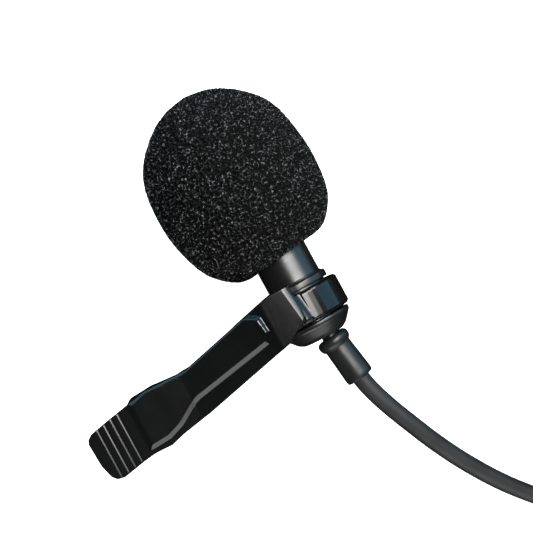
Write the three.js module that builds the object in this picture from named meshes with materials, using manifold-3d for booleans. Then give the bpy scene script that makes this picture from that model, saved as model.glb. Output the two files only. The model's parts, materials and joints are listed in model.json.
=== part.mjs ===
// Lavalier microphone lying on a table: a foam-covered capsule barrel held in the ring of a
// spring clip, and its cable, which runs to a coil and a four-pole plug.
// Millimetres, +Z up, table at z = 0. Most of the design is drawn about the barrel's axis,
// which lies along Y: +Y towards the foam's tip, -Y towards the cable.
import * as THREE from 'three';
import { mergeVertices } from 'three/addons/utils/BufferGeometryUtils.js';
import Module from 'manifold-3d';

const wasm = await Module();
wasm.setup();

// ---- driving dimensions ----
const GAP = 0.3;
const FINE_GAP = 0.15;
const AXIS = { x: 12.88, y: -3.255, z: 12.38 };

const FOAM = { x: -0.95, radius: 12.35, rim: 0.5, tip: 27.7, boreTop: 10.3 };
const SKEW = { rim: 7.2, tip: 1.8, pivotY: 12 };
const BARREL = { radius: 4.15, bore: 3.5, front: 9.6, rear: -10.15, lip: 3.0, lipDepth: 0.5 };
const COLLAR = { radius: 4.8, top: -4.2, bottom: -5.25 };
const RING = { radius: 5.85, bore: 4, top: -5.5, bottom: -10.2, edge: 0.35 };
const CAP = { radius: 5.35, top: -10.45, end: -13.1, endRadius: 3.2, spigot: 3.2, spigotTop: -8 };
const STUB = { radius: 1.35, top: -5 };
const BOOT = { x: 0.78, y: -12.8, lean: 8, length: 8.2, radius: 2.18, bead: 2.5 };
const CAPSULE = { radius: 2.5, top: 8.1, bottom: 5.4 };
const GASKET = { inner: 1.9, outer: 3.3, bottom: 8.25, top: 8.4 };
const SLEEVE = { inner: 2.65, outer: 3.35, bottom: 5.2, top: 8.1 };
const BOARD = { radius: 2.4, bottom: 4.75, top: 5.15 };
const CRIMP = { radius: 2.7, bottom: -7.6, top: -5.6 };
const WIRE = { radius: 0.3, spread: 0.8, top: 4.3, bottom: -4.7 };

const BLOCK = { top: 6.55, underside: 0.75, edgeX: -0.8, edgeY: -6.4, edgeTurn: 7 };
const STEP = 0.6;
const SHOULDER = 0.75;
const CREASE = { x: -20.9, z: 4 };
const PIN = { x: -19.5, z: -1.35, radius: 0.8, front: -14.35, back: -7.65 };
const EAR = { radius: 1.9, front: [-14.4, -8.6], frontWide: 1.0, rear: [-13.1, -9.8], rearWide: 0.9 };
const SPRING = { wire: 0.45, radius: 1.35, turns: 1.5, pitch: 0.5 };
const RIB = { first: -31.45, pitch: -1.2, count: 4, wide: 0.24, deep: 0.12 };
const TOOTH = { first: -7.8, pitch: -0.9, count: 3, wide: 0.5, deep: 0.25 };
const REAR_BITE = 0.4;
const SPRING_LEG = { x: -26, frontZ: 2.3, rearZ: -6.5 };

const CORD = { radius: 1.35, sides: 8 };
const COIL = { x: 46, y: -50, outer: 20.25, pitch: 2.75, layers: 4, turns: 3.59, base: 0.8 };
const TIE = { thick: 0.5, wide: 4 };
const PLUG = { x: 66.25, y: -10, z: 4, shell: 17.6, core: 17.4 };
const JACK_RADIUS = 1.75;
const INSULATOR = 0.5;

const ROUND = 48;
const SMALL_ROUND = 24;

// ---- helpers ----
const rad = THREE.MathUtils.degToRad;

// Positions and indices only, with shared corners, no flat triangles, and faces outwards.
function closed(geometry) {
  const bare = geometry.clone();
  bare.deleteAttribute('normal');
  bare.deleteAttribute('uv');
  const merged = mergeVertices(bare, 1e-4);
  const position = merged.getAttribute('position');
  const index = Array.from(merged.getIndex().array);
  const kept = [];
  let volume = 0;
  for (let i = 0; i < index.length; i += 3) {
    const [a, b, c] = index.slice(i, i + 3);
    if (a === b || b === c || c === a) continue;
    kept.push(a, b, c);
    const [p, q, r] = [a, b, c].map((n) => new THREE.Vector3().fromBufferAttribute(position, n));
    volume += p.dot(q.cross(r));
  }
  if (volume < 0) kept.reverse();
  merged.setIndex(kept);
  merged.computeVertexNormals();
  return merged;
}

function solid(geometry) {
  const shape = closed(geometry);
  const mesh = new wasm.Mesh({
    numProp: 3,
    vertProperties: new Float32Array(shape.getAttribute('position').array),
    triVerts: new Uint32Array(shape.getIndex().array),
  });
  return new wasm.Manifold(mesh);
}

function surface(manifold) {
  const mesh = manifold.getMesh();
  const geometry = new THREE.BufferGeometry();
  geometry.setAttribute('position', new THREE.BufferAttribute(new Float32Array(mesh.vertProperties), 3));
  geometry.setIndex(Array.from(mesh.triVerts));
  return closed(geometry);
}

// A turned piece about the Y axis from [radius, y] pairs.
function turned(profile, segments = ROUND) {
  return new THREE.LatheGeometry(profile.map(([r, y]) => new THREE.Vector2(r, y)), segments);
}

// A ring about the Y axis with a rectangular section.
function band(inner, outer, bottom, top) {
  return turned([[inner, bottom], [outer, bottom], [outer, top], [inner, top], [inner, bottom]]);
}

function rod(radius, bottom, top, segments = ROUND) {
  return turned([[0, bottom], [radius, bottom], [radius, top], [0, top]], segments);
}

function outline(points) {
  return new THREE.Shape(points.map(([a, b]) => new THREE.Vector2(a, b)));
}

// An outline in X and Y, raised from z = bottom to z = top.
function raised(points, bottom, top) {
  const geometry = new THREE.ExtrudeGeometry(outline(points), { depth: top - bottom, bevelEnabled: false });
  return geometry.translate(0, 0, bottom);
}

// A side view in X and Z, spread along Y from y = low to y = high.
function spread(points, low, high) {
  const geometry = new THREE.ExtrudeGeometry(outline(points), { depth: high - low, bevelEnabled: false });
  return geometry.rotateX(Math.PI / 2).translate(0, high, 0);
}

function tube(points, radius, steps, sides = CORD.sides) {
  const section = new THREE.Shape().absarc(0, 0, radius, 0, 2 * Math.PI);
  const extrudePath = new THREE.CatmullRomCurve3(points.map((p) => new THREE.Vector3(...p)));
  return new THREE.ExtrudeGeometry(section, { steps, curveSegments: sides / 2, extrudePath });
}

function material(color, roughness, metalness) {
  return { color, roughness, metalness };
}

const LOOK = {
  foam: material(0x121314, 0.95, 0),
  anodised: material(0x17191b, 0.35, 0.8),
  plastic: material(0x141617, 0.45, 0),
  rubber: material(0x1b1d1f, 0.6, 0),
  jacket: material(0x232629, 0.55, 0),
  steel: material(0xb4b7ba, 0.3, 1),
  gold: material(0xd2a850, 0.25, 1),
  can: material(0xc0c2c4, 0.35, 1),
  board: material(0x1d5b34, 0.5, 0),
  copper: material(0xb23a2e, 0.5, 0),
  white: material(0xd8d8d2, 0.5, 0),
  strap: material(0x18191a, 0.9, 0),
};

const object = new THREE.Group();
const mic = new THREE.Group();
mic.position.set(AXIS.x, AXIS.y, AXIS.z);
object.add(mic);

function add(parent, name, geometry, look) {
  const mesh = new THREE.Mesh(closed(geometry), new THREE.MeshStandardMaterial(look));
  mesh.name = name;
  parent.add(mesh);
  return mesh;
}

// ---- foam windscreen: a soft ball, pulled askew on the barrel, more at its rim than at its tip ----
function foamWindscreen() {
  const half = new THREE.SplineCurve([
    [0, FOAM.tip], [5, 26.4], [9.35, 22.9], [11.6, 18.9], [FOAM.radius, 13.2], [12.1, 8.8],
    [10.85, 4.1], [8.1, 0.9], [5.7, 0.1], [4.6, FOAM.rim],
  ].map(([r, y]) => new THREE.Vector2(r, y)));
  const profile = half.getPoints(24).map((p) => [Math.max(p.x, 0), p.y]);
  profile.push([0, FOAM.rim]);
  const ball = closed(turned(profile));
  const place = ball.getAttribute('position');
  const up = new THREE.Vector3(0, 0, 1);
  for (let i = 0; i < place.count; i += 1) {
    const point = new THREE.Vector3().fromBufferAttribute(place, i);
    const skew = THREE.MathUtils.lerp(SKEW.rim, SKEW.tip, point.y / FOAM.tip);
    point.y -= SKEW.pivotY;
    point.applyAxisAngle(up, rad(skew));
    place.setXYZ(i, point.x + FOAM.x, point.y + SKEW.pivotY, point.z);
  }
  const bore = rod(BARREL.radius + GAP, -6, FOAM.boreTop);
  return surface(solid(ball).subtract(solid(bore)));
}

// ---- barrel and what it holds ----
function barrel() {
  const collarEdge = 0.15;
  const frontEdge = 0.3;
  return turned([
    [BARREL.bore, BARREL.rear], [BARREL.radius, BARREL.rear], [BARREL.radius, COLLAR.bottom],
    [COLLAR.radius - collarEdge, COLLAR.bottom], [COLLAR.radius, COLLAR.bottom + collarEdge],
    [COLLAR.radius, COLLAR.top - collarEdge], [COLLAR.radius - collarEdge, COLLAR.top],
    [BARREL.radius, COLLAR.top], [BARREL.radius, BARREL.front - frontEdge],
    [BARREL.radius - frontEdge, BARREL.front],
    [BARREL.lip, BARREL.front], [BARREL.lip, BARREL.front - BARREL.lipDepth],
    [BARREL.bore, BARREL.front - BARREL.lipDepth], [BARREL.bore, BARREL.rear],
  ]);
}

function grille() {
  const top = BARREL.front - BARREL.lipDepth - FINE_GAP;
  const holes = 6;
  let plate = solid(rod(BARREL.bore - FINE_GAP, top - 0.4, top, SMALL_ROUND));
  for (let i = 0; i < holes; i += 1) {
    const hole = rod(0.5, top - 1, top + 1, 8).translate(1.6, 0, 0).rotateY(2 * Math.PI * i / holes);
    plate = plate.subtract(solid(hole));
  }
  return surface(plate);
}

function wire(side) {
  const x = side * WIRE.spread;
  const route = [[x, WIRE.top, 0], [x * 1.4, 1, 0.4], [x * 1.2, -2, -0.3], [x * 0.7, WIRE.bottom, 0]];
  return tube(route, WIRE.radius, 8);
}

function baseCap() {
  const bore = STUB.radius + GAP;
  const edge = 0.25;
  return turned([
    [bore, CAP.spigotTop], [bore, CAP.end], [CAP.endRadius, CAP.end], [3.95, -12.65], [4.9, -11.55],
    [CAP.radius, -11.05], [CAP.radius, CAP.top - edge], [CAP.radius - edge, CAP.top], [CAP.spigot, CAP.top],
    [CAP.spigot, CAP.spigotTop], [bore, CAP.spigotTop],
  ]);
}

// The moulded relief: a stub through the cap, then a bead and a sleeve that lean with the cable.
function strainRelief() {
  const stub = rod(STUB.radius, CAP.end - 0.9, STUB.top, SMALL_ROUND);
  const sleeve = turned([
    [0, -0.8], [2.2, -0.8], [BOOT.bead, -1.15], [BOOT.bead, -1.85], [2.3, -2.25], [2.06, -2.45],
    [BOOT.radius, -7.6], [BOOT.radius - 0.3, -BOOT.length], [0, -BOOT.length],
  ], 32).rotateZ(rad(BOOT.lean)).translate(BOOT.x, BOOT.y, 0);
  return surface(solid(stub).add(solid(sleeve)));
}

// ---- clip: plan outlines in X and Y, side views in X and Z, about the barrel's axis ----
const FRONT_PLAN = [
  [-1.1, -3.8], [-4.24, -3.77], [-20, -7.52], [-26.7, -7.32], [-30, -8], [-33.3, -8.6], [-36.2, -9.2],
  [-36.95, -9.7], [-37.2, -10.4], [-37.05, -14], [-36.5, -16], [-35.9, -16.7], [-34.8, -16.95],
  [-31.3, -16.3], [-29.4, -16.05], [-26.6, -16.15], [-24.4, -15.55], [-19.6, -14.7], [-4.43, -11.2],
  [-2.98, -10.15], [-2, -9.86], [-1.2, -9],
];
const FRONT_SIDE = [
  [0, BLOCK.top], [-6, BLOCK.top], [-7, BLOCK.top - STEP], [CREASE.x, CREASE.z], [-37.6, 4.65],
  [-37.6, 3.25], [-30, 3], [-21, 2.65], [-16.5, 3.25], [-11.3, 3.65], [-10.8, BLOCK.underside],
  [0, BLOCK.underside],
];
// Sections of the block's edge beside the ring, across the edge: what is cut away, and the foot that
// runs out onto the ring.
const EDGE_CUT = [
  [-1.05, BLOCK.top], [-0.75, 6.49], [-0.45, 6.39], [-0.1, 6.15], [0.15, 5.94], [1, 5.94], [1, 8],
  [-1.05, 8],
];
const EDGE_FOOT = [
  [-0.9, 5.2], [0.6, 5.2], [0.6, 5.8], [0.4, 5.84], [0.15, 5.94], [-0.1, 6.15], [-0.45, 6.3], [-0.9, 6.3],
];
const REAR_PLAN = [
  [-7, -5.3], [-20, -8], [-27, -7.6], [-30.8, -7.9], [-32.2, -8.8], [-32.6, -10], [-32.4, -14.6],
  [-31.5, -15.8], [-27, -15.9], [-20, -14.4], [-7, -11],
];
const REAR_SIDE = [
  [-7, REAR_BITE], [-10.6, REAR_BITE], [-11.2, -1.15], [-16.2, -1.35], [-18, -3.6], [-20, -4.15],
  [-32.6, -10.7], [-32.6, -12.25], [-31.6, -12.3], [-20.5, -5.9], [-17, -4.4], [-11, -2.8], [-7, -1.4],
];
// The raised panels run over the arm's +Y edge, which trims them.
const ARM_PLATEAU = [
  [-6.4, -5.7], [-8.8, -4.4], [-20, -7.1], [-21.8, -7.3], [-21.8, -12.8], [-20, -12.25], [-7.3, -9.95],
  [-6, -8.5],
];
const PADDLE_PLATEAU = [
  [-18.8, -7.6], [-20.5, -7.2], [-26.7, -7], [-29.8, -7.8], [-29.8, -15.4], [-26.4, -15.25], [-24.1, -14.5],
  [-20.5, -12.4], [-18.8, -11.6],
];

// A raised panel with sloping edges. Its top passes STEP above (x, z) and leans by tilt.
function plateau(points, x, z, tilt) {
  const depth = 0.5;
  const panel = new THREE.ExtrudeGeometry(outline(points), {
    depth, bevelThickness: STEP, bevelSize: SHOULDER, bevelOffset: -SHOULDER, bevelSegments: 1,
  });
  return solid(panel.translate(-x, 0, -depth).rotateY(tilt).translate(x, 0, z));
}

// A cheek round the pin: straight-sided at the plate, and round at the pin.
function ear(low, high, plateZ, halfWidth) {
  const points = [[PIN.x + halfWidth, plateZ], [PIN.x - halfWidth, plateZ]];
  const side = Math.sign(plateZ - PIN.z);
  for (let i = 0; i <= 12; i += 1) {
    const angle = Math.PI + side * Math.PI * (i / 12);
    points.push([PIN.x + EAR.radius * Math.cos(angle), PIN.z + EAR.radius * Math.sin(angle)]);
  }
  return solid(spread(points, low, high));
}

// V grooves along Y in the face at height z(x), which looks up where side is 1 and down where it is -1.
function grooves(body, setup, z, side) {
  let cut = body;
  for (let i = 0; i < setup.count; i += 1) {
    const x = setup.first + i * setup.pitch;
    const bar = new THREE.BoxGeometry(setup.wide, 20, setup.wide).rotateY(Math.PI / 4);
    const height = z(x) + side * (setup.wide * Math.SQRT1_2 - setup.deep);
    cut = cut.subtract(solid(bar.translate(x, -11, height)));
  }
  return cut;
}

// A section across the block's edge beside the ring, drawn out along that edge.
function alongEdge(section, low, high) {
  const bar = spread(section, low - BLOCK.edgeY, high - BLOCK.edgeY).rotateZ(rad(BLOCK.edgeTurn));
  return solid(bar.translate(BLOCK.edgeX, BLOCK.edgeY, 0));
}

function clipRing() {
  return turned([
    [RING.bore, RING.bottom], [RING.radius - RING.edge, RING.bottom], [RING.radius, RING.bottom + RING.edge],
    [RING.radius, RING.top - RING.edge], [RING.radius - RING.edge, RING.top], [RING.bore, RING.top],
    [RING.bore, RING.bottom],
  ]);
}

function frontJaw() {
  const plan = solid(raised(FRONT_PLAN, -8, 8));
  let body = solid(spread(FRONT_SIDE, -20, 0)).intersect(plan);
  for (const low of EAR.front) {
    const cheek = ear(low, low + EAR.frontWide, 3.1, 3.5);
    body = body.add(cheek.intersect(plan));
  }
  const armTilt = Math.atan2(BLOCK.top - STEP - CREASE.z, -7 - CREASE.x);
  const paddleTilt = Math.atan2(4.65 - CREASE.z, CREASE.x + 37.6);
  const paddleTop = (x) => CREASE.z + (CREASE.x - x) * Math.tan(paddleTilt);
  body = body.add(plateau(ARM_PLATEAU, CREASE.x, CREASE.z, -armTilt).intersect(plan));
  body = body.add(plateau(PADDLE_PLATEAU, CREASE.x, CREASE.z, paddleTilt).intersect(plan));
  body = grooves(body, RIB, paddleTop, 1);
  body = grooves(body, TOOTH, () => BLOCK.underside, -1);
  body = body.subtract(alongEdge(EDGE_CUT, -14, 0));
  body = body.add(solid(clipRing()));
  body = body.add(alongEdge(EDGE_FOOT, RING.bottom + 0.6, RING.top - 0.1));
  body = body.subtract(solid(rod(BARREL.radius + GAP, -20, 0)));
  body = body.subtract(solid(rod(COLLAR.radius + GAP, RING.top, 0)));
  body = body.subtract(solid(rod(CAP.radius + GAP, -20, RING.bottom)));
  return surface(body.subtract(pinHole()));
}

function pinHole() {
  return solid(rod(PIN.radius + GAP, -20, 0, SMALL_ROUND).translate(PIN.x, 0, PIN.z));
}

function rearJaw() {
  const plan = solid(raised(REAR_PLAN, -14, 4));
  let body = solid(spread(REAR_SIDE, -20, 0)).intersect(plan);
  for (const low of EAR.rear) {
    body = body.add(ear(low, low + EAR.rearWide, -4.4, 2.2));
  }
  body = grooves(body, TOOTH, () => REAR_BITE, 1);
  return surface(body.subtract(pinHole()));
}

// Half of the torsion spring: turns round the pin, then a leg to (legX, legZ).
function springHalf(startY, direction, legX, legZ) {
  const points = [];
  const steps = 18;
  const endAngle = Math.atan2(legZ - PIN.z, legX - PIN.x) + direction * 1.35;
  for (let i = 0; i <= steps; i += 1) {
    const angle = endAngle + direction * (1 - i / steps) * SPRING.turns * 2 * Math.PI;
    const y = startY + (i / steps) * SPRING.turns * SPRING.pitch;
    points.push([PIN.x + SPRING.radius * Math.cos(angle), y, PIN.z + SPRING.radius * Math.sin(angle)]);
  }
  const [x, y, z] = points[points.length - 1];
  points.push([(x + legX) / 2, y, (z + legZ) / 2], [legX, y, legZ]);
  return tube(points, SPRING.wire / 2, 44, 6);
}

function hingePin() {
  const edge = 0.2;
  return turned([
    [0, PIN.front], [PIN.radius - edge, PIN.front], [PIN.radius, PIN.front + edge],
    [PIN.radius, PIN.back - edge], [PIN.radius - edge, PIN.back], [0, PIN.back],
  ], SMALL_ROUND).translate(PIN.x, 0, PIN.z);
}

// ---- cable ----
// Route of the lead's centre from the relief to the coil, [x, y] about the barrel's axis and height.
const LEAD_ROUTE = [
  [1.97, -21.3, 12.3], [2.43, -23.3, 12.15], [3.42, -26.25, 11.75], [5.36, -31, 10.85], [7.7, -36.2, 9.4],
  [10.55, -41.45, 7.7], [13.7, -46.3, 5.9], [17.05, -50.55, 4.3], [20.2, -54.2, 3.1], [23.4, -57.45, 2.4],
];
// Route of the tail from the coil's top turn down to the plug.
const TAIL_ROUTE = [
  [66.25, -37.6, 9.4], [66.25, -34.6, 8.6], [66.25, -31.6, 7.2], [66.25, -28.6, 5.8], [66.25, -25.6, 4.7],
  [66.25, -22.9, 4.15], [66.25, -20.4, 4],
];

function placed(route) {
  return route.map(([x, y, z]) => [AXIS.x + x, AXIS.y + y, z]);
}

function coilRing() {
  const inner = COIL.outer - COIL.turns * COIL.pitch - CORD.radius;
  const outer = COIL.outer + CORD.radius;
  const top = COIL.base + COIL.layers * 2 * CORD.radius;
  const edge = 1.2;
  const profile = [
    [inner, COIL.base + edge], [inner + edge, COIL.base], [outer - edge, COIL.base],
    [outer, COIL.base + edge], [outer, top - edge], [outer - edge, top], [inner + edge, top],
    [inner, top - edge], [inner, COIL.base + edge],
  ];
  const ring = turned(profile, ROUND).rotateX(Math.PI / 2);
  return ring.translate(AXIS.x + COIL.x, AXIS.y + COIL.y, 0);
}

// A strap round the coil's bundle, where the ring is furthest along +Y.
function cableTie() {
  const low = COIL.outer - COIL.turns * COIL.pitch - CORD.radius - 2 * GAP;
  const high = COIL.outer + CORD.radius + GAP;
  const top = COIL.base + COIL.layers * 2 * CORD.radius + GAP;
  const inner = low - TIE.thick;
  const outer = high + TIE.thick;
  const strap = outline([[inner, 0], [outer, 0], [outer, top + TIE.thick], [inner, top + TIE.thick]]);
  strap.holes.push(outline([[low, TIE.thick], [high, TIE.thick], [high, top], [low, top]]));
  const loop = new THREE.ExtrudeGeometry(strap, { depth: TIE.wide, bevelEnabled: false });
  loop.rotateX(Math.PI / 2).rotateZ(Math.PI / 2);
  return loop.translate(AXIS.x + COIL.x - TIE.wide / 2, AXIS.y + COIL.y, 0);
}

// ---- plug: drawn along +Y from the back of its shell ----
function plugShell() {
  return turned([
    [1.7, 0], [3.2, 0], [4, 0.8], [4, 16.6], [3.5, PLUG.shell], [2.3, PLUG.shell], [2.3, 3], [1.7, 3],
    [1.7, 0],
  ], SMALL_ROUND * 2);
}

function plugRelief() {
  return turned([
    [0, -10], [1.7, -10], [1.95, -9.7], [2.5, -0.6], [2.5, -GAP], [1.4, -GAP], [1.4, 2.6], [0, 2.6],
  ], SMALL_ROUND);
}

// ---- assembly ----
add(mic, 'foam_windscreen', foamWindscreen(), LOOK.foam);
add(mic, 'barrel', barrel(), LOOK.anodised);
add(mic, 'grille', grille(), LOOK.steel);
add(mic, 'capsule_gasket', band(GASKET.inner, GASKET.outer, GASKET.bottom, GASKET.top), LOOK.rubber);
add(mic, 'capsule_sleeve', band(SLEEVE.inner, SLEEVE.outer, SLEEVE.bottom, SLEEVE.top), LOOK.rubber);
add(mic, 'capsule', rod(CAPSULE.radius, CAPSULE.bottom, CAPSULE.top, SMALL_ROUND), LOOK.can);
add(mic, 'capsule_board', rod(BOARD.radius, BOARD.bottom, BOARD.top, SMALL_ROUND), LOOK.board);
add(mic, 'wire_signal', wire(1), LOOK.copper);
add(mic, 'wire_ground', wire(-1), LOOK.white);
add(mic, 'cable_crimp', band(STUB.radius + GAP, CRIMP.radius, CRIMP.bottom, CRIMP.top), LOOK.steel);
add(mic, 'base_cap', baseCap(), LOOK.anodised);
add(mic, 'strain_relief', strainRelief(), LOOK.rubber);

add(mic, 'front_jaw', frontJaw(), LOOK.plastic);
add(mic, 'rear_jaw', rearJaw(), LOOK.plastic);
add(mic, 'hinge_pin', hingePin(), LOOK.steel);
add(mic, 'spring_front', springHalf(-11.85, 1, SPRING_LEG.x, SPRING_LEG.frontZ), LOOK.steel);
add(mic, 'spring_rear', springHalf(-10.85, -1, SPRING_LEG.x, SPRING_LEG.rearZ), LOOK.steel);

add(object, 'cable_lead', tube(placed(LEAD_ROUTE), CORD.radius, 16), LOOK.jacket);
add(object, 'cable_coil', coilRing(), LOOK.jacket);
add(object, 'cable_tie', cableTie(), LOOK.strap);
add(object, 'cable_tail', tube(placed(TAIL_ROUTE), CORD.radius, 8), LOOK.jacket);

const plug = new THREE.Group();
plug.position.set(AXIS.x + PLUG.x, AXIS.y + PLUG.y, PLUG.z);
object.add(plug);
add(plug, 'plug_strain_relief', plugRelief(), LOOK.rubber);
add(plug, 'plug_shell', plugShell(), LOOK.anodised);
add(plug, 'plug_core', rod(2, 3.3, PLUG.core, SMALL_ROUND), LOOK.plastic);

// The jack's poles, back to front: length of each metal pole, with an insulator between two poles.
const POLES = [['jack_sleeve', 4.9], ['jack_ring_rear', 2.1], ['jack_ring_front', 2.1]];
const INSULATORS = ['insulator_rear', 'insulator_middle', 'insulator_front'];
let jackY = PLUG.core + GAP;
POLES.forEach(([name, length], i) => {
  add(plug, name, rod(JACK_RADIUS, jackY, jackY + length, SMALL_ROUND), LOOK.gold);
  jackY += length + FINE_GAP;
  add(plug, INSULATORS[i], rod(JACK_RADIUS - 0.05, jackY, jackY + INSULATOR, SMALL_ROUND), LOOK.plastic);
  jackY += INSULATOR + FINE_GAP;
});
add(plug, 'jack_tip', turned([
  [0, jackY], [JACK_RADIUS, jackY], [1.1, jackY + 1.1], [1.65, jackY + 2], [0.5, jackY + 3.2],
  [0, jackY + 3.3],
], SMALL_ROUND), LOOK.gold);

export default object;
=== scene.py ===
import json
import math
import bmesh
import bpy
import numpy as np
from mathutils import Matrix, Vector, kdtree


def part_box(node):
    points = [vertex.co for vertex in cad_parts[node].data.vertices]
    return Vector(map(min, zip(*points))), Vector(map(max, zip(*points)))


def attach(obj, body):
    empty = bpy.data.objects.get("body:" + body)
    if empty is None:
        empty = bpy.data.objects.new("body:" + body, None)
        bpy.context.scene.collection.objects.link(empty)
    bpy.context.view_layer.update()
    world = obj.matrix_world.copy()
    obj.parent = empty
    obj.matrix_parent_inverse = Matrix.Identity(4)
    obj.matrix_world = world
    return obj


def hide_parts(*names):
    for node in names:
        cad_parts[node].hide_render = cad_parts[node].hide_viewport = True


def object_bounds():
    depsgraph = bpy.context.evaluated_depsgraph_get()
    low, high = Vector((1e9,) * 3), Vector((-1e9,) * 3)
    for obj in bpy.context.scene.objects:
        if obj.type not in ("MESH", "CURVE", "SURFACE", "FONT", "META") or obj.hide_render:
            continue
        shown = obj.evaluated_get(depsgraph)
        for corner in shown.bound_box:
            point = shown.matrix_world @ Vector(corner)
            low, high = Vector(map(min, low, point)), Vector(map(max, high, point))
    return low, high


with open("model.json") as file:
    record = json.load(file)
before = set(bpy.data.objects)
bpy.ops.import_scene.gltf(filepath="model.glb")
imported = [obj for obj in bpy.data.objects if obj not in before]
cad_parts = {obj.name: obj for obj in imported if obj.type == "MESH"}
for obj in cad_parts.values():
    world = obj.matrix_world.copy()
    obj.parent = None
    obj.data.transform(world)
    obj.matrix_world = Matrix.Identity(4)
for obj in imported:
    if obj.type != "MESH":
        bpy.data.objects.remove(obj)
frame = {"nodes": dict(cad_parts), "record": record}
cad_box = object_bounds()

# The finished surfaces of a lavalier microphone that lies on a table, seen from straight above.
# Points, profiles and the camera's place are in millimetres about the barrel's axis, which runs
# along Y, and MM turns them into metres. A cable's height is above the table instead. Lights and
# the floor are in metres.
MM = 0.001
TINY = 1e-6
BARREL_FRONT = 9.6 * MM
CORD_DIAMETER = 2.7 * MM

barrel_low, barrel_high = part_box("barrel")
AXIS = Vector(((barrel_low.x + barrel_high.x) / 2, barrel_high.y - BARREL_FRONT,
               (barrel_low.z + barrel_high.z) / 2))


def at(x, y, z=0.0):
    """A point about the barrel's axis."""
    return AXIS + Vector((x, y, z)) * MM


def on_table(x, y, z):
    """A point beside the barrel's axis, at a height above the table."""
    return Vector((AXIS.x + x * MM, AXIS.y + y * MM, z * MM))


# ---- camera ----
CAMERA_OVER = (-2.5, 0.0)
CAMERA_HEIGHT = 196.0
CAMERA_TURN = math.radians(-28.5)
CAMERA_LENS = 90.0
CAMERA_SENSOR = 36.0
CAMERA_CLIP = 5 * MM


def make_camera():
    data = bpy.data.cameras.new("camera")
    data.lens = CAMERA_LENS
    data.sensor_width = CAMERA_SENSOR
    data.clip_start = CAMERA_CLIP
    camera = bpy.data.objects.new("camera", data)
    camera.location = at(*CAMERA_OVER, CAMERA_HEIGHT)
    camera.rotation_euler = (0, 0, CAMERA_TURN)
    bpy.context.scene.collection.objects.link(camera)
    bpy.context.scene.camera = camera


make_camera()

# ---- material helpers ----
# Most of a noise's values lie between these two, so colours and roughness run from one to the other.
NOISE_LOW = 0.3
NOISE_HIGH = 0.7
BLACK_TINT = (0.94, 1.0, 1.02)


class Graph:
    """A material's node tree, with its surface shader, and short calls that add nodes."""

    def __init__(self, name, color, roughness, metallic=0.0):
        self.material = bpy.data.materials.new(name)
        self.material.use_nodes = True
        self.tree = self.material.node_tree
        self.shader = next(n for n in self.tree.nodes if n.type == "BSDF_PRINCIPLED")
        self.fix("Base Color", (*color, 1))
        self.fix("Roughness", roughness)
        self.fix("Metallic", metallic)
        self.place = self.tree.nodes.new("ShaderNodeTexCoord").outputs["Object"]

    def fix(self, name, value):
        """Sets a constant on the shader's own socket."""
        self.shader.inputs[name].default_value = value

    def link(self, name, output):
        self.tree.links.new(output, self.shader.inputs[name])

    def add(self, kind, settings=(), **inputs):
        node = self.tree.nodes.new("ShaderNode" + kind)
        for key, value in settings:
            setattr(node, key, value)
        for key, value in inputs.items():
            self.put(node.inputs[key.replace("_", " ")], value)
        return node

    def put(self, socket, value):
        if isinstance(value, bpy.types.NodeSocket):
            self.tree.links.new(value, socket)
        else:
            socket.default_value = value

    def stretched(self, scale):
        return self.add("Mapping", Vector=self.place, Scale=scale).outputs["Vector"]

    def noise(self, scale, detail=3.0, rough=0.55, place=None):
        node = self.add("TexNoise", Vector=place or self.place, Scale=scale, Detail=detail, Roughness=rough)
        return node.outputs["Fac"]

    def remap(self, value, low, high, start=NOISE_LOW, end=NOISE_HIGH):
        node = self.add("MapRange", Value=value, From_Min=start, From_Max=end, To_Min=low, To_Max=high)
        return node.outputs["Result"]

    def times(self, first, second):
        node = self.add("Math", (("operation", "MULTIPLY"),))
        self.put(node.inputs[0], first)
        self.put(node.inputs[1], second)
        return node.outputs["Value"]

    def ramp(self, value, *stops):
        node = self.add("ValToRGB", Fac=value)
        while len(node.color_ramp.elements) < len(stops):
            node.color_ramp.elements.new(0.5)
        for element, (position, color) in zip(node.color_ramp.elements, stops):
            element.position = position
            element.color = (*color, 1)
        return node.outputs["Color"]

    def mottle(self, cloud, dark, light):
        self.link("Base Color", self.ramp(cloud, (NOISE_LOW, dark), (NOISE_HIGH, light)))

    def bump(self, height, strength, distance):
        node = self.add("Bump", Height=height, Strength=strength, Distance=distance)
        self.link("Normal", node.outputs["Normal"])


def grey(value):
    return tuple(value * t for t in BLACK_TINT)


# ---- materials: a noise's scale is in cells per metre, and a bump's distance in metres ----
FINE_GRAIN = 0.00002
JACKET_GRAIN = 0.00003
STRUT_HEIGHT = 0.00012
WEAVE_HEIGHT = 0.0001
FOAM_NET = 1900.0
WEAVE = 1500.0


def moulded_plastic():
    g = Graph("moulded_plastic", grey(0.003), 0.12)
    g.mottle(g.noise(scale=90, detail=4), grey(0.0024), grey(0.004))
    scuffs = g.noise(scale=500, detail=6, rough=0.7, place=g.stretched((1, 0.25, 1)))
    g.link("Roughness", g.remap(scuffs, low=0.1, high=0.14))
    g.bump(g.noise(scale=5200, detail=2), strength=0.012, distance=FINE_GRAIN)
    return g.material


def anodised():
    g = Graph("anodised_aluminium", grey(0.005), 0.22)
    g.fix("Specular IOR Level", 0.75)
    g.mottle(g.noise(scale=60, detail=3), grey(0.004), grey(0.007))
    turning = g.noise(scale=900, detail=3, rough=0.6, place=g.stretched((0.04, 4, 0.04)))
    g.link("Roughness", g.remap(turning, low=0.28, high=0.36))
    g.bump(turning, strength=0.05, distance=FINE_GRAIN)
    return g.material


def rubber():
    g = Graph("moulded_rubber", grey(0.006), 0.36)
    g.mottle(g.noise(scale=160, detail=4), grey(0.005), grey(0.009))
    g.link("Roughness", g.remap(g.noise(scale=700), low=0.32, high=0.42))
    g.bump(g.noise(scale=3500), strength=0.18, distance=FINE_GRAIN)
    return g.material


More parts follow.
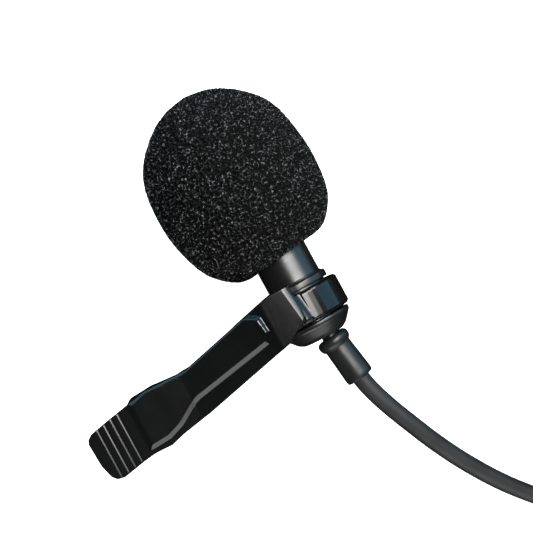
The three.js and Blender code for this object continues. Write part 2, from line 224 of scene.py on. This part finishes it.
def jacket():
    g = Graph("cable_jacket", grey(0.011), 0.5)
    g.mottle(g.noise(scale=240, detail=5), grey(0.009), grey(0.014))
    g.link("Roughness", g.remap(g.noise(scale=900), low=0.46, high=0.58))
    g.bump(g.noise(scale=4200, detail=4), strength=0.3, distance=JACKET_GRAIN)
    return g.material


def foam():
    """A net of thin struts, broken here and there. Its colour is a painted highlight on the struts and
    painted shade that darkens it where the mesh sinks into a pore.
    """
    g = Graph("open_cell_foam", grey(0.02), 0.5)
    g.fix("Specular IOR Level", 0.16)
    ridge = g.add("Attribute", (("attribute_name", "strut"),)).outputs["Fac"]
    raised = g.remap(ridge, low=0.45, high=1.0, start=0.0, end=0.6)
    cells = g.add("TexVoronoi", (("feature", "DISTANCE_TO_EDGE"),), Vector=g.place, Scale=FOAM_NET)
    net = g.remap(cells.outputs["Distance"], low=1.0, high=0.0, start=0.03, end=0.16)
    breaks = g.noise(scale=2600, rough=0.7)
    broken = g.remap(breaks, low=0.0, high=1.0, start=0.42, end=0.62)
    strut = g.times(g.times(net, broken), raised)
    # Painted shade: near black in the pores. Painted highlight: light grey on the struts, standing in for
    # the glints of light on them.
    pore_shade, dim, strut_glint = grey(0.0004), grey(0.01), grey(0.2)
    g.link("Base Color", g.ramp(strut, (0.1, pore_shade), (0.45, dim), (1.0, strut_glint)))
    g.link("Roughness", g.remap(strut, low=0.75, high=0.35, start=0.1, end=0.8))
    g.bump(net, strength=1.0, distance=STRUT_HEIGHT)
    return g.material


def metal(name, color, roughness):
    g = Graph(name, color, roughness, 1.0)
    streaks = g.noise(scale=1200, detail=4, rough=0.6, place=g.stretched((0.1, 1, 0.1)))
    dark = tuple(0.82 * c for c in color)
    g.mottle(streaks, dark, color)
    g.link("Roughness", g.remap(streaks, low=roughness * 0.8, high=roughness * 1.35))
    g.bump(streaks, strength=0.05, distance=FINE_GRAIN)
    return g.material


def plain(name, color, roughness):
    g = Graph(name, color, roughness)
    cloud = g.noise(scale=800, detail=4)
    dark = tuple(0.75 * c for c in color)
    g.mottle(cloud, dark, color)
    g.link("Roughness", g.remap(cloud, low=roughness * 0.85, high=roughness * 1.1))
    g.bump(g.noise(scale=5000, detail=2), strength=0.1, distance=FINE_GRAIN)
    return g.material


def woven_strap():
    g = Graph("woven_strap", grey(0.014), 0.9)
    settings = (("wave_type", "BANDS"), ("bands_direction", "DIAGONAL"))
    wave = g.add("TexWave", settings, Vector=g.place, Scale=WEAVE, Distortion=1.5, Detail=2.0)
    threads = wave.outputs["Fac"]
    g.link("Base Color", g.ramp(threads, (0.2, grey(0.006)), (0.8, grey(0.03))))
    g.bump(threads, strength=0.6, distance=WEAVE_HEIGHT)
    return g.material


MATERIALS = {
    "foam": foam(),
    "anodised": anodised(),
    "plastic": moulded_plastic(),
    "rubber": rubber(),
    "jacket": jacket(),
    "steel": metal("plain_steel", (0.55, 0.56, 0.57), 0.3),
    "gold": metal("gold_contact", (0.8, 0.58, 0.25), 0.22),
    "can": metal("drawn_can", (0.7, 0.71, 0.72), 0.35),
    "board": plain("solder_mask", (0.02, 0.13, 0.05), 0.4),
    "wire_red": plain("red_insulation", (0.45, 0.04, 0.03), 0.45),
    "wire_white": plain("white_insulation", (0.75, 0.75, 0.7), 0.45),
    "strap": woven_strap(),
}


def paint_nodes():
    for part in frame["record"]["subparts"]:
        mesh = frame["nodes"][part["node"]].data
        mesh.materials.clear()
        mesh.materials.append(MATERIALS[part["material_slot"]])


paint_nodes()

# ---- mesh helpers ----
ROUNDING_STEPS = 5
SEGMENTS = 128
SOFT_ANGLE = 35
CLIP_ANGLE = 60


def body_of_node(node):
    bodies = frame["record"]["behaviour"]["bodies"]
    return next(name for name, nodes in bodies.items() if node in nodes)


def slot_of_node(node):
    return next(p["material_slot"] for p in frame["record"]["subparts"] if p["node"] == node)


def stand_for(piece, *nodes):
    """Gives a piece the material and body of the CAD nodes that it stands for."""
    slot = slot_of_node(nodes[0])
    piece.data.materials.clear()
    piece.data.materials.append(MATERIALS[slot])
    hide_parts(*nodes)
    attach(piece, body_of_node(nodes[0]))


def new_object(name, mesh):
    piece = bpy.data.objects.new(name, mesh)
    bpy.context.scene.collection.objects.link(piece)
    return piece


def apply_modifiers(piece):
    graph = bpy.context.evaluated_depsgraph_get()
    mesh = bpy.data.meshes.new_from_object(piece.evaluated_get(graph))
    piece.modifiers.clear()
    piece.data = mesh


def shade(piece, angle=SOFT_ANGLE):
    """Smooth shading, with edges sharper than the angle left sharp."""
    piece.data.shade_smooth()
    piece.data.set_sharp_from_angle(angle=math.radians(angle))


def rounded(profile):
    """A profile of (radius, y) or (radius, y, rounding) corners, with each rounding as an arc."""
    points = []
    for i, corner in enumerate(profile):
        here = Vector(corner[:2])
        if len(corner) < 3 or i in (0, len(profile) - 1):
            points.append(here)
            continue
        before = Vector(profile[i - 1][:2]) - here
        after = Vector(profile[i + 1][:2]) - here
        size = min(corner[2], 0.45 * before.length, 0.45 * after.length)
        start = here + before.normalized() * size
        end = here + after.normalized() * size
        for k in range(ROUNDING_STEPS + 1):
            t = k / ROUNDING_STEPS
            points.append((1 - t) ** 2 * start + 2 * t * (1 - t) * here + t ** 2 * end)
    return points


def ring_of_points(bm, radius, y, segments):
    """A ring about the Y axis, or its one middle point where the radius is zero."""
    if radius < TINY:
        return [bm.verts.new((0, y * MM, 0))]
    angles = [2 * math.pi * i / segments for i in range(segments)]
    return [bm.verts.new((radius * MM * math.cos(a), y * MM, radius * MM * math.sin(a))) for a in angles]


def turned(name, profile, place, segments=SEGMENTS):
    """A turned piece: its profile, from axis to axis or back to its start, goes round the local Y axis."""
    points = rounded(profile)
    looped = (points[0] - points[-1]).length < TINY
    if looped:
        points.pop()
    bm = bmesh.new()
    rings = [ring_of_points(bm, radius, y, segments) for radius, y in points]
    pairs = list(zip(rings, rings[1:])) + ([(rings[-1], rings[0])] if looped else [])
    for lower, upper in pairs:
        for i in range(segments):
            j = (i + 1) % segments
            corners = [ring[k % len(ring)] for ring, k in ((lower, i), (lower, j), (upper, j), (upper, i))]
            distinct = list(dict.fromkeys(corners))
            if len(distinct) > 2:
                bm.faces.new(distinct)
    bmesh.ops.recalc_face_normals(bm, faces=bm.faces)
    mesh = bpy.data.meshes.new(name)
    bm.to_mesh(mesh)
    bm.free()
    piece = new_object(name, mesh)
    piece.data.transform(place)
    shade(piece)
    return piece


def about_axis(x=0.0, y=0.0, lean=0.0):
    """A place for a turned piece: about the barrel's axis, moved to (x, y) and leaning in the XY plane."""
    return Matrix.Translation(at(x, y)) @ Matrix.Rotation(math.radians(lean), 4, "Z")


def softened(name, node, voxel, passes):
    """A fine copy of a CAD node with its edges rounded, as a moulding's are."""
    piece = new_object(name, frame["nodes"][node].data.copy())
    remesh = piece.modifiers.new("remesh", "REMESH")
    remesh.mode = "VOXEL"
    remesh.voxel_size = voxel * MM
    smooth = piece.modifiers.new("smooth", "SMOOTH")
    smooth.factor = 0.5
    smooth.iterations = passes
    apply_modifiers(piece)
    return piece


# ---- cable: the route repeats the CAD route, and a loop works out the coil's turns ----
# The cable starts in the socket at the end of its boot, and is free from the boot's rim on.
SOCKET = (1.78, -19.93)
LEAD_ROUTE = [
    (1.97, -21.3, 12.3), (2.43, -23.3, 12.15), (3.42, -26.25, 11.75), (5.36, -31, 10.85), (7.7, -36.2, 9.4),
    (10.55, -41.45, 7.7), (13.7, -46.3, 5.9), (17.05, -50.55, 4.3), (20.2, -54.2, 3.1), (23.4, -57.45, 2.4),
]
# Where the lead lies on the table and runs into the coil's lowest turn.
LANDING = (28.9, -62.1, 2.15)
TAIL_ROUTE = [
    (66.25, -37.6, 9.4), (66.25, -34.6, 8.6), (66.25, -31.6, 7.2), (66.25, -28.6, 5.8), (66.25, -25.6, 4.7),
    (66.25, -22.9, 4.15), (66.25, -20.4, 4),
]
COIL = {"x": 46, "y": -50, "outer": 20.25, "pitch": 2.75, "layers": 4, "turns": 3.59, "base": 0.8}
COIL_START = math.radians(230)
COIL_STEPS = 18
# The share of a turn on each side of a layer's end in which the cable climbs half a layer.
COIL_CLIMB = 0.12
CABLE_ROUNDNESS = 5
CABLE_STEPS = 5


def coil_points():
    """Flat spirals on top of each other, wound in and out in turn, with a short climb between layers."""
    diameter = CORD_DIAMETER / MM
    turns = COIL["turns"]
    total = COIL["layers"] * turns
    steps = round(total * COIL_STEPS)
    points = []
    for i in range(steps + 1):
        turn = total * i / steps
        layer = min(int(turn / turns), COIL["layers"] - 1)
        share = turn - layer * turns
        inward = share if layer % 2 == 0 else turns - share
        climb_left = max(0.0, 1 - (turns - share) / COIL_CLIMB) if layer < COIL["layers"] - 1 else 0.0
        climb_done = max(0.0, 1 - share / COIL_CLIMB) if layer > 0 else 0.0
        level = layer + 0.5 * climb_left ** 2 - 0.5 * climb_done ** 2
        angle = COIL_START + 2 * math.pi * turn
        r = COIL["outer"] - COIL["pitch"] * inward
        z = COIL["base"] + (0.5 + level) * diameter
        points.append(on_table(COIL["x"] + r * math.cos(angle), COIL["y"] + r * math.sin(angle), z))
    return points


def make_cable():
    route = [at(*SOCKET)]
    route += [on_table(*p) for p in LEAD_ROUTE + [LANDING]]
    route += coil_points()
    route += [on_table(*p) for p in TAIL_ROUTE]
    data = bpy.data.curves.new("cable", "CURVE")
    data.dimensions = "3D"
    data.bevel_depth = CORD_DIAMETER / 2
    data.bevel_resolution = CABLE_ROUNDNESS
    data.resolution_u = CABLE_STEPS
    data.use_fill_caps = True
    spline = data.splines.new("BEZIER")
    spline.bezier_points.add(len(route) - 1)
    for point, where in zip(spline.bezier_points, route):
        point.co = where
        point.handle_left_type = "AUTO"
        point.handle_right_type = "AUTO"
    cable = new_object("cable", data)
    stand_for(cable, "cable_lead", "cable_coil", "cable_tail")
    return cable


cable = make_cable()

# ---- barrel, cap and strain relief: profiles of (radius, y, rounding) ----
BARREL_PROFILE = [
    (3.5, -10.15), (4.15, -10.15), (4.15, -5.25), (4.7, -5.25, 0.12), (4.8, -5.15, 0.1),
    (4.8, -4.35, 0.15), (4.65, -4.15, 0.12), (4.32, -4.12, 0.08), (4.3, -3.95, 0.06), (4.15, -3.92, 0.05),
    (4.15, 9.6, 0.4), (3.0, 9.6, 0.1), (3.0, 9.1), (3.5, 9.1), (3.5, -10.15),
]
CAP_PROFILE = [
    (1.65, -8), (1.65, -13.1), (3.1, -13.1, 0.2), (3.95, -12.65, 0.3), (4.9, -11.55, 0.3),
    (5.35, -11.05, 0.3), (5.35, -10.45, 0.15), (3.2, -10.45), (3.2, -8), (1.65, -8),
]
# The boot is a short neck, a bead and a sleeve, with a socket for the cable behind.
BOOT_PLACE = {"x": 0.78, "y": -12.8, "lean": 8}
BOOT_PROFILE = [
    (0, -0.4), (1.3, -0.4), (1.3, -0.7), (2.1, -0.72, 0.2), (2.52, -1.1, 0.35), (2.54, -1.8, 0.35),
    (2.3, -2.25, 0.25), (2.06, -2.45, 0.2), (2.06, -2.8, 0.2), (2.18, -7.6, 0.6),
    (2.1, -8.2, 0.45), (1.42, -8.2, 0.08), (1.42, -6.8), (0, -6.8),
]
STUB_PROFILE = [(0, -12.95), (1.35, -12.95), (1.35, -5, 0.2), (0, -5)]
STUB_SEGMENTS = 48


def make_barrel():
    stand_for(turned("barrel_tube", BARREL_PROFILE, about_axis()), "barrel")
    stand_for(turned("rear_cap", CAP_PROFILE, about_axis()), "base_cap")
    stand_for(turned("cable_boot", BOOT_PROFILE, about_axis(**BOOT_PLACE)), "strain_relief")
    stand_for(turned("cable_stub", STUB_PROFILE, about_axis(), STUB_SEGMENTS), "strain_relief")


make_barrel()

# ---- clip ----
CLIP_VOXEL = 0.1
CLIP_PASSES = 3


def make_clip():
    for name, node in (("clip_front_arm", "front_jaw"), ("clip_rear_arm", "rear_jaw")):
        piece = softened(name, node, CLIP_VOXEL, CLIP_PASSES)
        shade(piece, CLIP_ANGLE)
        stand_for(piece, node)


make_clip()

# ---- foam windscreen ----
FOAM_VOXEL = 0.15
FOAM_PASSES = 14
FOAM_SEED = 7
CELL = 0.66 * MM
PORE_DEPTH = 0.42 * MM
# The wall between two cells reaches to where one is nearer than the other by this share of a cell.
WALL = 0.28
# The bore that holds the barrel stays smooth.
BORE_RADIUS = 4.9 * MM
BORE_END = 11 * MM


def vertex_vectors(mesh, name):
    values = np.empty(len(mesh.vertices) * 3)
    mesh.vertices.foreach_get(name, values)
    return values.reshape(-1, 3)


def cell_seeds(low, high, generator):
    """Cell centres on a jittered grid through the box from low to high."""
    counts = [max(1, math.ceil((h - l) / CELL)) for l, h in zip(low, high)]
    grid = np.stack(np.meshgrid(*[np.arange(n) for n in counts], indexing="ij"), -1).reshape(-1, 3)
    jitter = generator.random(grid.shape)
    return np.array(low) + (grid + jitter) * CELL


def wall_share(points):
    """1 on the walls between scattered cells and 0 inside the cells, for each point."""
    generator = np.random.default_rng(FOAM_SEED)
    seeds = cell_seeds(points.min(0) - CELL, points.max(0) + CELL, generator)
    cells = kdtree.KDTree(len(seeds))
    for i, seed in enumerate(seeds):
        cells.insert(seed, i)
    cells.balance()
    nearer = np.empty(len(points))
    for i, point in enumerate(points):
        found = cells.find_n(point, 2)
        nearer[i] = (found[1][2] - found[0][2]) / CELL
    wall = np.clip(1 - nearer / WALL, 0, 1)
    return wall * wall * (3 - 2 * wall)


def make_foam():
    piece = softened("foam_ball", "foam_windscreen", FOAM_VOXEL, FOAM_PASSES)
    mesh = piece.data
    points = vertex_vectors(mesh, "co")
    normals = vertex_vectors(mesh, "normal")
    wall = wall_share(points)
    depth = (1 - wall) * PORE_DEPTH
    inside = np.linalg.norm((points - np.array(AXIS))[:, [0, 2]], axis=1) < BORE_RADIUS
    depth[inside & (points[:, 1] < AXIS.y + BORE_END)] = 0
    points -= normals * depth[:, None]
    mesh.vertices.foreach_set("co", points.reshape(-1))
    # The wall share is kept as the "strut" attribute, which the foam's painted highlight on the struts and
    # painted shade in the pores follow.
    attribute = mesh.attributes.new("strut", "FLOAT", "POINT")
    attribute.data.foreach_set("value", wall.astype(np.float32))
    mesh.shade_smooth()
    stand_for(piece, "foam_windscreen")


make_foam()

# ---- plug and tie ----
PLUG_SEGMENTS = 96
PLUG_PROFILE = [
    (1.7, 0), (3.0, 0, 0.3), (3.95, 0.9, 0.5), (3.95, 3.1, 0.1), (3.7, 3.25, 0.1), (3.7, 3.6, 0.1),
    (3.95, 3.75, 0.1), (3.95, 16.6, 0.5), (3.4, 17.6, 0.3), (2.3, 17.6, 0.1), (2.3, 3), (1.7, 3), (1.7, 0),
]
BOOT_RIBS = {"count": 5, "first": -9.2, "pitch": 1.7, "radius": 1.85, "growth": 0.13, "groove": 0.3}
TIE_EDGE = 0.2
TIE_STEPS = 3


def plug_boot_profile():
    """A boot that widens towards the plug, with a groove after each rib."""
    profile = [(0, -10), (1.75, -10, 0.3)]
    for i in range(BOOT_RIBS["count"]):
        y = BOOT_RIBS["first"] + BOOT_RIBS["pitch"] * i
        rib = BOOT_RIBS["radius"] + BOOT_RIBS["growth"] * i
        groove = rib - BOOT_RIBS["groove"]
        profile += [(rib, y, 0.2), (rib + 0.05, y + 0.9, 0.2)]
        profile += [(groove, y + 1.05, 0.15), (groove, y + 1.5, 0.15)]
    return profile + [(2.5, -0.6, 0.2), (2.5, -0.3), (1.4, -0.3), (1.4, 2.6), (0, 2.6)]


def make_plug():
    low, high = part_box("plug_shell")
    place = Matrix.Translation(((low.x + high.x) / 2, low.y, (low.z + high.z) / 2))
    stand_for(turned("plug_sleeve", PLUG_PROFILE, place, PLUG_SEGMENTS), "plug_shell")
    stand_for(turned("plug_boot", plug_boot_profile(), place, PLUG_SEGMENTS), "plug_strain_relief")


def make_tie():
    piece = new_object("cable_strap", frame["nodes"]["cable_tie"].data.copy())
    bevel = piece.modifiers.new("edges", "BEVEL")
    bevel.width = TIE_EDGE * MM
    bevel.segments = TIE_STEPS
    apply_modifiers(piece)
    shade(piece)
    stand_for(piece, "cable_tie")


make_plug()
make_tie()

# ---- studio ----
WHITE = (1.0, 1.0, 1.0)
WARM = (1.0, 0.99, 0.97)
LIT_POINT = (-8, -2)
LIGHTS = [
    # name, direction it comes from, distance, width, length, watts, colour
    ("key", (0.44, 0.16, 1.0), 0.60, 0.10, 0.50, 1.4, WARM),
    ("key_halo", (0.46, 0.16, 1.0), 0.605, 0.18, 0.50, 1.7, WARM),
    ("key_edge", (0.48, 0.16, 1.0), 0.61, 0.27, 0.50, 1.3, WARM),
    ("cool_side", (1.0, 0.1, 0.36), 0.60, 0.26, 0.60, 0.7, (0.3, 0.72, 1.0)),
    ("corner", (0.55, 0.85, 0.3), 0.60, 0.16, 0.16, 0.5, WHITE),
    ("cool_top", (-0.1, 1.0, 0.34), 0.60, 0.80, 0.34, 1.6, (0.35, 0.75, 1.0)),
    ("low_side", (-0.1, -1.0, 0.34), 0.60, 0.70, 0.30, 1.7, WHITE),
]
SKY_STRENGTH = 1.4
FLOOR_SIZE = 4.0
FLOOR_DROP = 0.0001
FLOOR_GLOW = 0.6


def make_lights():
    target = at(*LIT_POINT)
    for name, direction, distance, width, length, watts, color in LIGHTS:
        data = bpy.data.lights.new(name, "AREA")
        data.shape = "RECTANGLE"
        data.size = width
        data.size_y = length
        data.energy = watts
        data.color = color
        light = bpy.data.objects.new(name, data)
        light.location = target + Vector(direction).normalized() * distance
        light.rotation_euler = (light.location - target).to_track_quat("Z", "Y").to_euler()
        bpy.context.scene.collection.objects.link(light)


def make_world():
    """An even white sky that lights the object and doesn't show in its gloss."""
    world = bpy.data.worlds.new("studio")
    world.use_nodes = True
    background = world.node_tree.nodes["Background"]
    background.inputs["Color"].default_value = (*WHITE, 1)
    background.inputs["Strength"].default_value = SKY_STRENGTH
    world.cycles_visibility.glossy = False
    bpy.context.scene.world = world


def make_floor():
    """A pale floor just under the object, which glows a little so that its shadows stay faint."""
    s = FLOOR_SIZE
    mesh = bpy.data.meshes.new("floor")
    mesh.from_pydata([(-s, -s, 0), (s, -s, 0), (s, s, 0), (-s, s, 0)], [], [(0, 1, 2, 3)])
    floor = new_object("floor", mesh)
    floor.location.z = cad_box[0][2] - FLOOR_DROP
    g = Graph("pale_floor", (0.9, 0.9, 0.9), 0.9)
    g.mottle(g.noise(scale=3, detail=2), (0.88, 0.88, 0.88), (0.92, 0.92, 0.92))
    g.fix("Emission Color", (*WHITE, 1))
    g.fix("Emission Strength", FLOOR_GLOW)
    mesh.materials.append(g.material)
    floor.visible_glossy = False


make_lights()
make_world()
make_floor()
bpy.context.scene.view_settings.view_transform = "Standard"
